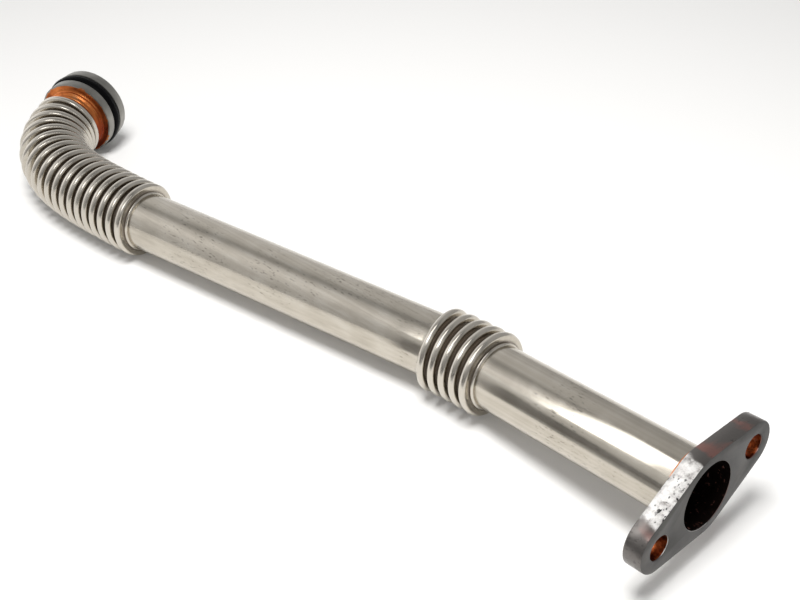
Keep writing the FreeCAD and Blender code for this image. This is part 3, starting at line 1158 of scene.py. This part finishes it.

# %% [markdown]
# ## Copper stains and copper braze
#
# Copper that melted and ran is smooth and orange where it is thick, and reddish brown where a
# thin oxide has grown on it; darker still underneath, which is painted shade. The bolt holes
# carry only a thin film of it over the steel, so their colours run from dark brown to pale copper.

# %% Copper in the bolt holes
tree = hole_tint.node_tree
shader = shader_of(hole_tint)
where = object_space(tree, flange_place)
painted_root_shade_and_copper_film = add_node(tree, "ShaderNodeTexNoise", {
    "Vector": where, "Scale": 330.0, "Detail": 5.0}).outputs["Fac"]
tone = add_node(tree, "ShaderNodeValToRGB", {"Fac": painted_root_shade_and_copper_film})
set_ramp(tone, [
    (0.3, colour("2E1710")), (0.45, colour("6A3218")),
    (0.58, colour("A85A30")), (0.7, colour("C88A68")),
])
bump = add_node(tree, "ShaderNodeBump", {"Height": painted_root_shade_and_copper_film, "Strength": 0.5, "Distance": 0.15 * MM})
set_inputs(shader, {
    "Base Color": tone.outputs["Color"],
    "Normal": bump.outputs[0],
    "Metallic": 1.0,
    "Roughness": 0.42,
})
print("nodes of", hole_tint.name + ":", len(tree.nodes))

# %% Furnace copper of the neck and the fillet
tree = braze_copper.node_tree
shader = shader_of(braze_copper)
where = object_space(tree)
flow = add_node(tree, "ShaderNodeTexNoise", {
    "Vector": where, "Scale": 110.0, "Detail": 3.0, "Distortion": 0.4}).outputs["Fac"]
tone = add_node(tree, "ShaderNodeValToRGB", {"Fac": flow})
set_ramp(tone, [
    (0.28, colour("8E4A26")), (0.45, colour("C26F3C")),
    (0.6, colour("D8854C")), (0.75, colour("E6A173")),
])
# Painted shade: the braze is darkened towards the bottom.
low = add_node(tree, "ShaderNodeSeparateXYZ", {"Vector": where}).outputs["Z"]
shaded = add_node(tree, "ShaderNodeMapRange", {
    "Value": low, "From Min": 4 * MM, "From Max": -10 * MM,
}, interpolation_type="SMOOTHSTEP").outputs[0]
copper_with_painted_shade = add_node(tree, "ShaderNodeMix", {
    "Factor": shaded, 6: tone.outputs["Color"], 7: colour("7E3620")}, data_type="RGBA").outputs[2]
bump = add_node(tree, "ShaderNodeBump", {"Height": flow, "Strength": 0.2, "Distance": 0.15 * MM})
rough = add_node(tree, "ShaderNodeMapRange", {
    "Value": flow, "From Min": 0.3, "From Max": 0.7, "To Min": 0.36, "To Max": 0.22}).outputs[0]
set_inputs(shader, {
    "Base Color": copper_with_painted_shade,
    "Roughness": rough,
    "Normal": bump.outputs[0],
    "Metallic": 1.0,
})
print("nodes of", braze_copper.name + ":", len(tree.nodes))

# %% [markdown]
# ## Turned steel
#
# The collar's steel is satin grey with the fine rings of the lathe, 0.12 mm apart. Splashes of
# copper reach from the neck onto its near face, with a ragged edge.

# %% Tone and lathe rings of the collar
tree = collar_steel.node_tree
shader = shader_of(collar_steel)
where = object_space(tree, collar_place)
LATHE_FEED = 0.12 * MM
parts = add_node(tree, "ShaderNodeSeparateXYZ", {"Vector": where}).outputs
off_axis = add_node(tree, "ShaderNodeVectorMath", {
    0: add_node(tree, "ShaderNodeVectorMath", {
        0: where, 1: (1, 1, 0)}, operation="MULTIPLY").outputs[0]},
    operation="LENGTH").outputs["Value"]
feed = add_node(tree, "ShaderNodeMath", {0: off_axis, 1: parts["Z"]}, operation="ADD").outputs[0]
feed = add_node(tree, "ShaderNodeMath", {
    0: feed, 1: 2 * pi / LATHE_FEED}, operation="MULTIPLY").outputs[0]
lathe = add_node(tree, "ShaderNodeMath", {0: feed}, operation="SINE").outputs[0]
haze = add_node(tree, "ShaderNodeTexNoise", {
    "Vector": where, "Scale": 160.0, "Detail": 4.0}).outputs["Fac"]
tone = add_node(tree, "ShaderNodeValToRGB", {"Fac": haze})
set_ramp(tone, [(0.3, colour("86847F")), (0.55, colour("95938E")), (0.75, colour("A3A09A"))])
print("nodes of the collar's tone and rings:", len(tree.nodes))

# %% Splashes of copper on the collar
splash_noise = add_node(tree, "ShaderNodeTexNoise", {
    "Vector": where, "Scale": 260.0, "Detail": 5.0}).outputs["Fac"]
splash_edge = add_node(tree, "ShaderNodeMapRange", {
    "Value": off_axis, "From Min": COLLAR_R - 1.6 * MM, "From Max": COLLAR_R + 0.4 * MM,
    "To Min": 0.62, "To Max": 0.3}).outputs[0]
splash = add_node(tree, "ShaderNodeMath", {
    0: splash_edge, 1: splash_noise}, operation="GREATER_THAN").outputs[0]
near_face = add_node(tree, "ShaderNodeMapRange", {
    "Value": parts["Z"], "From Min": NECK + 0.3 * MM, "From Max": NECK + 0.9 * MM,
    "To Min": 1.0, "To Max": 0.0}).outputs[0]
splash = add_node(tree, "ShaderNodeMath", {
    0: splash, 1: near_face}, operation="MULTIPLY").outputs[0]
base = add_node(tree, "ShaderNodeMix", {
    "Factor": splash, 6: tone.outputs["Color"], 7: colour("C47848")}, data_type="RGBA").outputs[2]
bump = add_node(tree, "ShaderNodeBump", {"Height": lathe, "Strength": 0.1, "Distance": 0.02 * MM})
bump = add_node(tree, "ShaderNodeBump", {
    "Height": haze, "Strength": 0.12, "Distance": 0.15 * MM, "Normal": bump.outputs[0]})
set_inputs(shader, {
    "Base Color": base,
    "Normal": bump.outputs[0],
    "Metallic": 1.0,
    "Roughness": 0.4,
})
print("nodes of", collar_steel.name + ":", len(tree.nodes))

# %% [markdown]
# ## Seal rubber
#
# Moulded rubber is nearly black, with a soft sheen from the polished mould and a faint grain.

# %% Rubber of the seal
tree = seal_rubber.node_tree
shader = shader_of(seal_rubber)
where = object_space(tree)
grain = add_node(tree, "ShaderNodeTexNoise", {
    "Vector": where, "Scale": 1400.0, "Detail": 3.0}).outputs["Fac"]
tone = add_node(tree, "ShaderNodeValToRGB", {"Fac": grain})
set_ramp(tone, [(0.3, colour("030304")), (0.7, colour("080809"))])
bump = add_node(tree, "ShaderNodeBump", {"Height": grain, "Strength": 0.15, "Distance": 0.05 * MM})
set_inputs(shader, {
    "Base Color": tone.outputs["Color"],
    "Normal": bump.outputs[0],
    "Roughness": 0.38,
    "IOR": 1.52,
    "Specular IOR Level": 0.04,
})
print("nodes of", seal_rubber.name + ":", len(tree.nodes))

# %% [markdown]
# ## The floor
#
# The floor is white card that stays white to the camera and to reflections, yet keeps the
# part's shadow. It glows a little of itself, and more with distance, so that its far end comes
# close to the white behind it. From a low angle a soft grey band still shows where they meet.

# %% Floor
deselect_all()
bpy.ops.mesh.primitive_plane_add(size=8.0, location=(0, 0, cad_box[0].z))
floor = bpy.context.object
floor.name = "floor"
bpy.ops.object.transform_apply()
floor_card = new_material("white_card_floor")
tree = floor_card.node_tree
tree.nodes.clear()
rays = add_node(tree, "ShaderNodeLightPath").outputs
seen = add_node(tree, "ShaderNodeMath", {
    0: rays["Is Camera Ray"], 1: rays["Is Glossy Ray"]}, operation="MAXIMUM").outputs[0]
seen = add_node(tree, "ShaderNodeMath", {
    0: seen, 1: rays["Is Transmission Ray"]}, operation="MAXIMUM").outputs[0]
away = add_node(tree, "ShaderNodeVectorMath", {
    0: object_space(tree)}, operation="LENGTH").outputs["Value"]
level = add_node(tree, "ShaderNodeMapRange", {
    "Value": away, "From Min": 0.62, "From Max": 1.2, "To Min": 0.05, "To Max": 1.0,
}, interpolation_type="SMOOTHSTEP").outputs[0]
glow = add_node(tree, "ShaderNodeMath", {0: seen, 1: level}, operation="MULTIPLY").outputs[0]
card = add_node(tree, "ShaderNodeBsdfDiffuse", {"Color": colour("F1F0EE")}).outputs[0]
lift = add_node(tree, "ShaderNodeEmission", {"Color": (1, 1, 1, 1), "Strength": glow}).outputs[0]
both = add_node(tree, "ShaderNodeAddShader", {0: card, 1: lift}).outputs[0]
add_node(tree, "ShaderNodeOutputMaterial", {"Surface": both})
floor.data.materials.append(floor_card)
print("floor height in mm:", round(cad_box[0].z / MM, 2))

# %% [markdown]
# ## A grey card
#
# Photographers place cards beside bright metal to draw its shape. This one is a box without
# its top and the side towards the pipe. It stands on the camera's side, out of the picture, and
# shows only in reflections: as the narrow dark band low on the tube near the flange.

# %% Grey card on the camera's side
deselect_all()
CARD_SIZE = (240 * MM, 230 * MM, 70 * MM)
CARD_MIDDLE = (-40 * MM, -200 * MM, cad_box[0].z + 36 * MM)
bpy.ops.mesh.primitive_cube_add(size=1.0, location=CARD_MIDDLE)
side_card = bpy.context.object
side_card.name = "side_card"
bpy.ops.transform.resize(value=CARD_SIZE)
bpy.ops.object.transform_apply()
bpy.ops.object.mode_set(mode="EDIT")
mesh = bmesh.from_edit_mesh(side_card.data)
for face in mesh.faces:
    face.select = face.normal.z > 0.5 or face.normal.y > 0.5
bmesh.update_edit_mesh(side_card.data)
bpy.ops.mesh.delete(type="FACE")
bpy.ops.object.mode_set(mode="OBJECT")
card_grey = new_material("grey_card")
set_inputs(shader_of(card_grey), {"Base Color": colour("969696"), "Roughness": 0.9})
side_card.data.materials.append(card_grey)
side_card.visible_camera = False
side_card.visible_diffuse = False
side_card.visible_shadow = False
print("faces of the grey card:", len(side_card.data.polygons))

# %% [markdown]
# ## The studio
#
# The bands on the tube are the picture of the studio round it, so the studio is drawn as bands
# across the tube: a pale backdrop, a dark gap overhead where no light hangs, a bright band
# above the camera and a grey one beside it. The wall at the collar's end is brighter, and the
# middle and the flange's end are dimmer. The camera itself sees plain white, and dull surfaces
# get the bands at less than half their strength, because the softbox lights them already.

# %% Bands of the studio
world = bpy.data.worlds.new("studio")
bpy.context.scene.world = world
world.use_nodes = True
tree = world.node_tree
tree.nodes.clear()
look = add_node(tree, "ShaderNodeTexCoord").outputs["Generated"]
behind = Vector((-sin(radians(LIE_TURN)), cos(radians(LIE_TURN)), 0))
back_part = add_node(tree, "ShaderNodeVectorMath", {
    0: look, 1: behind}, operation="DOT_PRODUCT").outputs["Value"]
up_part = add_node(tree, "ShaderNodeSeparateXYZ", {"Vector": look}).outputs["Z"]
over = add_node(tree, "ShaderNodeMath", {0: up_part, 1: back_part}, operation="ARCTAN2").outputs[0]
share = add_node(tree, "ShaderNodeMath", {
    0: over, 1: pi}, operation="DIVIDE", use_clamp=True).outputs[0]
bands = add_node(tree, "ShaderNodeValToRGB", {"Fac": share})


set_ramp(bands, [
    (0.0, grey(0.80)), (0.30, grey(0.80)), (0.39, grey(0.64)), (0.45, grey(0.42)),
    (0.50, grey(0.50)), (0.57, grey(0.86)), (0.68, grey(1.12)), (0.80, grey(0.84)),
    (0.90, grey(0.70)), (1.0, grey(0.64)),
])
print("nodes of the studio's bands:", len(tree.nodes))

# %% Bright end, dim end and white for the camera
rays = add_node(tree, "ShaderNodeLightPath").outputs
end_part = add_node(tree, "ShaderNodeVectorMath", {
    0: look, 1: (-cos(radians(LIE_TURN)), -sin(radians(LIE_TURN)), 0),
}, operation="DOT_PRODUCT").outputs["Value"]
end_wall = add_node(tree, "ShaderNodeMapRange", {
    "Value": end_part, "From Min": 0.76, "From Max": 0.86, "To Min": 1.0, "To Max": 1.6,
}, interpolation_type="SMOOTHSTEP").outputs[0]
dim_side = add_node(tree, "ShaderNodeMapRange", {
    "Value": end_part, "From Min": 0.22, "From Max": 0.6, "To Min": 0.58, "To Max": 1.0,
}, interpolation_type="SMOOTHSTEP").outputs[0]
ends = add_node(tree, "ShaderNodeMath", {0: end_wall, 1: dim_side}, operation="MULTIPLY").outputs[0]
fill = add_node(tree, "ShaderNodeMapRange", {
    "Value": rays["Is Diffuse Ray"], "To Min": ends, "To Max": 0.42}).outputs[0]
sky = add_node(tree, "ShaderNodeBackground", {
    "Color": bands.outputs["Color"], "Strength": fill}).outputs[0]
white = add_node(tree, "ShaderNodeBackground", {"Color": (1, 1, 1, 1), "Strength": 1.0}).outputs[0]
mixed = add_node(tree, "ShaderNodeMixShader", {
    0: rays["Is Camera Ray"], 1: sky, 2: white}).outputs[0]
add_node(tree, "ShaderNodeOutputWorld", {"Surface": mixed})
print("nodes of the studio:", len(tree.nodes))

# %% [markdown]
# ## The lamps
#
# A softbox overhead gives the light and the soft shadow and doesn't show in the metal. The two
# windows do the opposite: they show in the metal as the highlights of the tube and the flange,
# and light nothing else. Lamps split in two like this can be moved for the one without the other.

# %% Lamps
def lamp(name, place, aim, size, power, glossy=True, diffuse=True, turn=0):
    """A soft lamp at a place in millimetres, aimed at a point and turned about its own axis."""
    light = bpy.data.lights.new(name, "AREA")
    light.shape = "RECTANGLE"
    light.size, light.size_y = size[0] * MM, size[1] * MM
    light.energy = power
    holder = bpy.data.objects.new(name, light)
    holder.location = Vector(place) * MM
    facing = (Vector(aim) - Vector(place)).to_track_quat("-Z", "Y").to_matrix()
    holder.rotation_euler = (facing @ Matrix.Rotation(radians(turn), 3, "Z")).to_euler()
    holder.visible_glossy = glossy
    holder.visible_diffuse = diffuse
    holder.visible_camera = False
    bpy.context.scene.collection.objects.link(holder)
    return holder


lamp("overhead_softbox", (-90, -140, 765), (-150, 0, -20), (320, 300), 6.8, glossy=False)
lamp("near_window", (-143, -62, 168), (-12, 1, -1), (180, 56), 0.1, diffuse=False, turn=-50)
lamp("far_window", (-20, -480, 690), (-300, 0, 0), (260, 260), 0.85, diffuse=False)
print("lamps:", [light.name for light in bpy.data.lights])

# %% [markdown]
# ## The CAD box
#
# The CAD model's box is printed once more, in millimetres. The dressed part must stay
# inside the CAD model's box.

# %% Print the CAD box
print("CAD box in mm:", [[round(value / MM, 2) for value in corner] for corner in cad_box])
